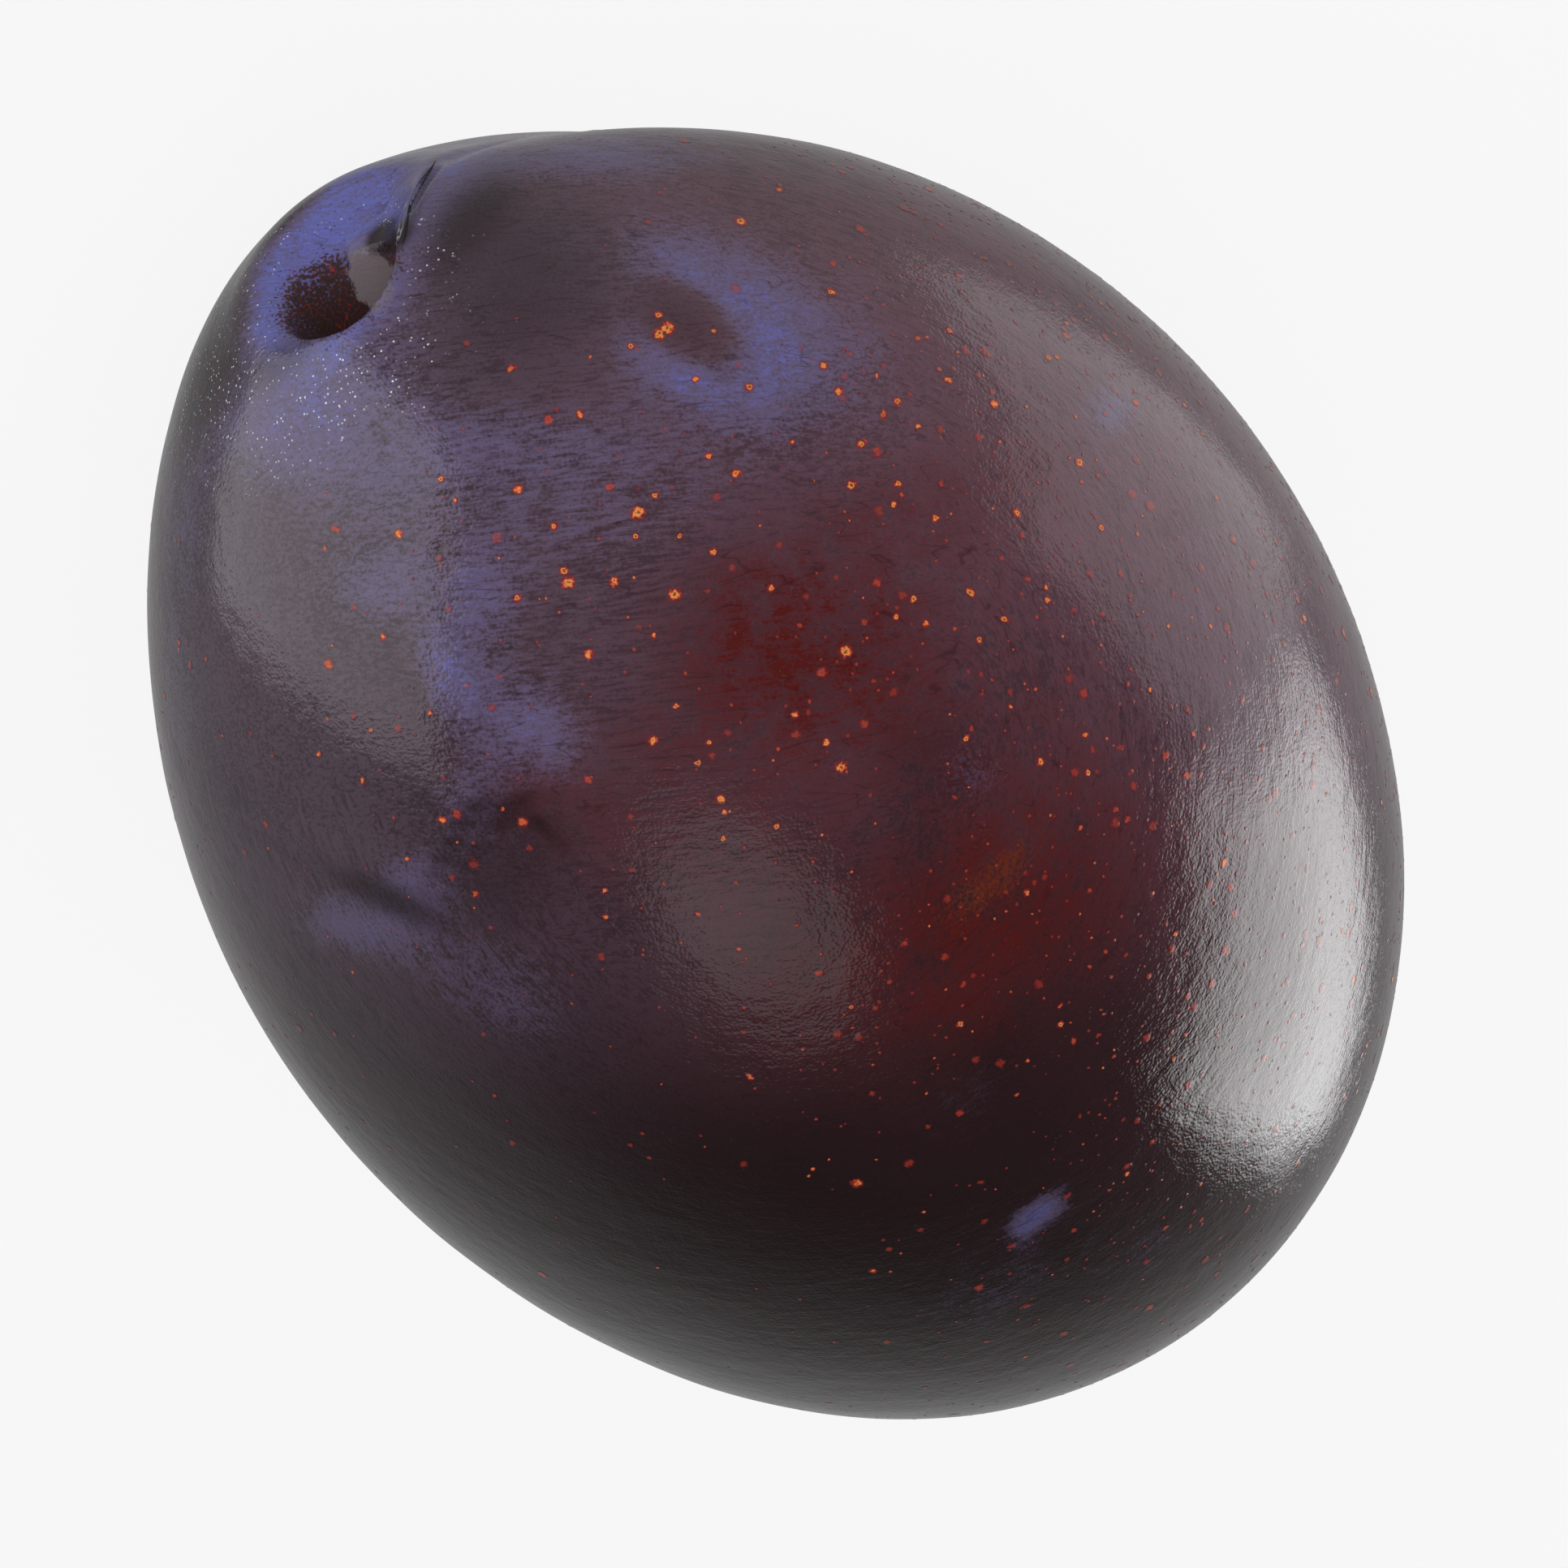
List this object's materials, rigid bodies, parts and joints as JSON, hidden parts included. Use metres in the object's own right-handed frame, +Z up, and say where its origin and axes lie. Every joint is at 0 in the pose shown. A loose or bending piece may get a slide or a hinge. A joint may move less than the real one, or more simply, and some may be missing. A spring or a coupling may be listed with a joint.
{
  "type": "plum",
  "caption": "Oval plum picked without its stalk: dark waxy skin, an open stalk hollow, a shallow seam and a small flat spot it rests on.",
  "frame": {"origin": "on the surface the plum lies on, under the middle of its length and breadth", "axes": "+X along the fruit towards the stalk hollow, +Z up through the upper cheek; the seam runs along the side that faces -Y"},
  "size_m": [0.0556, 0.0406, 0.0391],
  "materials": {
    "skin": "satin"
  },
  "bodies": {
    "root": {"plum": "skin"}
  },
  "joints": []
}
